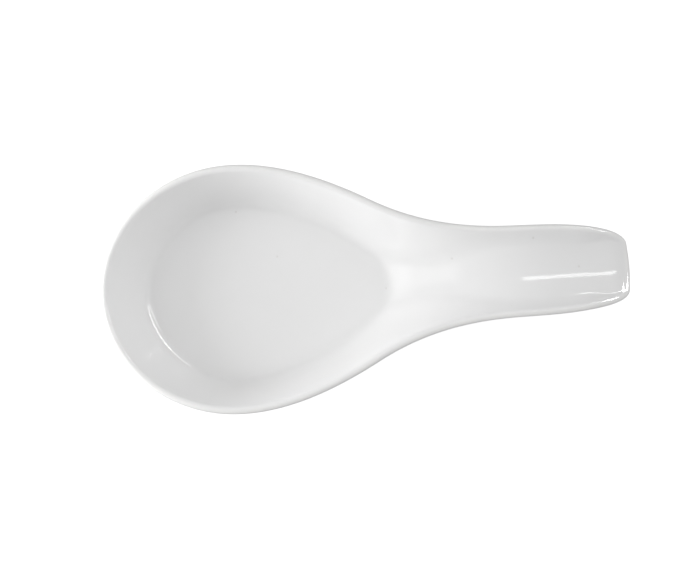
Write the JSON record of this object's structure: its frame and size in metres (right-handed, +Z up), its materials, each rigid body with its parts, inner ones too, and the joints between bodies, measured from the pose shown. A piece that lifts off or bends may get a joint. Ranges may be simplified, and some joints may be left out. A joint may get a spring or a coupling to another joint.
{
  "type": "spoon rest",
  "caption": "White glazed porcelain spoon rest with an egg-shaped bowl, an arched trough handle open at its tip, and a dry foot ring.",
  "frame": {"origin": "under the middle of the bounding box, on the surface that the foot ring stands on", "axes": "+X from the nose of the bowl to the tip of the handle, +Y across the bowl, +Z up"},
  "size_m": [0.229, 0.107, 0.028],
  "materials": {
    "biscuit": "unglazed, fine matte grain",
    "glaze": "clear gloss over white"
  },
  "bodies": {
    "root": {"porcelain_body": "biscuit", "glaze_coat": "glaze", "foot_well_glaze": "glaze"}
  },
  "joints": []
}
